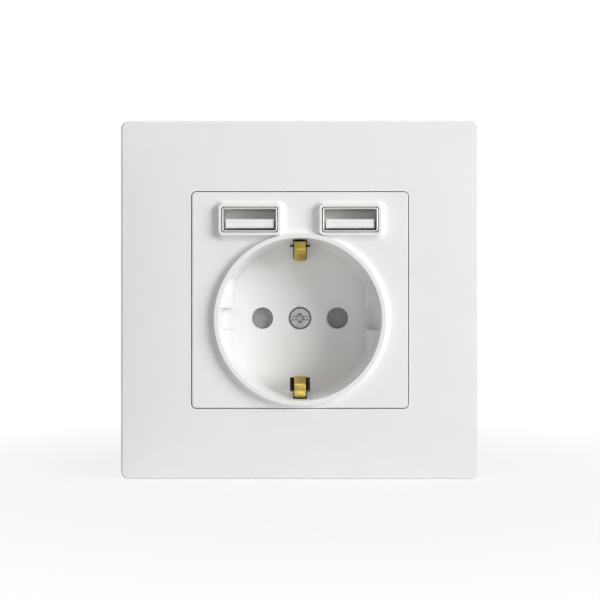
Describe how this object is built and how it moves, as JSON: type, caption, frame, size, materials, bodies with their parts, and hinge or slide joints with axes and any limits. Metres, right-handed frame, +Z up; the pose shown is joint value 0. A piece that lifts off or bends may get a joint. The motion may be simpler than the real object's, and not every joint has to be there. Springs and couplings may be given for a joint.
{
  "type": "usb wall socket",
  "caption": "Flush wall socket with a round earthed outlet well, raised USB charging ports above it and a square cover frame.",
  "frame": {"origin": "middle of the wall box, between the two wall screws, on the wall's surface", "axes": "+Z up, front facing -Y, +Y into the wall, +X to the viewer's right"},
  "size_m": [0.086, 0.045, 0.086],
  "materials": {
    "front_plastic": "smooth white thermoset moulding, satin gloss",
    "base_plastic": "light grey glass-filled moulding, matt",
    "shutter_plastic": "grey moulding, matt",
    "port_plastic": "white port moulding, matt",
    "brass": "rolled brass strip, slightly dull",
    "gilt": "thin gilt plating on the contact strips",
    "bright_steel": "nickel-plated sheet",
    "zinc_steel": "zinc-plated steel",
    "board": "green solder mask on glass laminate",
    "ferrite": "dark sintered ferrite",
    "tape": "yellow winding tape",
    "can_sleeve": "dark shrink sleeve",
    "chip_black": "black moulded package",
    "disc_blue": "blue dipped coating"
  },
  "bodies": {
    "socket": {"cover_frame": "front_plastic", "socket_insert": "front_plastic", "centre_screw": "zinc_steel", "centre_nut": "zinc_steel", "shutter_spring": "zinc_steel", "earth_bracket": "brass", "line_contact": "brass", "neutral_contact": "brass", "line_terminal": "brass", "neutral_terminal": "brass", "earth_terminal": "brass", "terminal_screws": "zinc_steel", "support_ring": "zinc_steel", "support_screws": "zinc_steel", "base_body": "base_plastic", "rear_cover": "base_plastic", "cover_screws": "zinc_steel", "usb_shell_left": "bright_steel", "usb_shell_right": "bright_steel", "usb_tongue_left": "port_plastic", "usb_tongue_right": "port_plastic", "usb_contacts_left": "gilt", "usb_contacts_right": "gilt", "charger_board": "board", "transformer_core": "ferrite", "transformer_winding": "tape", "input_capacitors": "can_sleeve", "output_capacitors": "can_sleeve", "rectifier": "chip_black", "control_chip": "chip_black", "fuse": "chip_black", "safety_capacitor": "disc_blue"},
    "shutter_rotor": {"shutter": "shutter_plastic"}
  },
  "joints": [
    {"name": "shutter_turn", "type": "hinge", "parent": "socket", "child": "shutter_rotor", "pos_m": [0, 0.0103, -0.0046], "axis": [0, 1, 0], "range_deg": [0, 38], "stiffness_Nm_per_rad": 0.004, "springref_deg": -8.59, "deforming": ["shutter_spring"]}
  ]
}
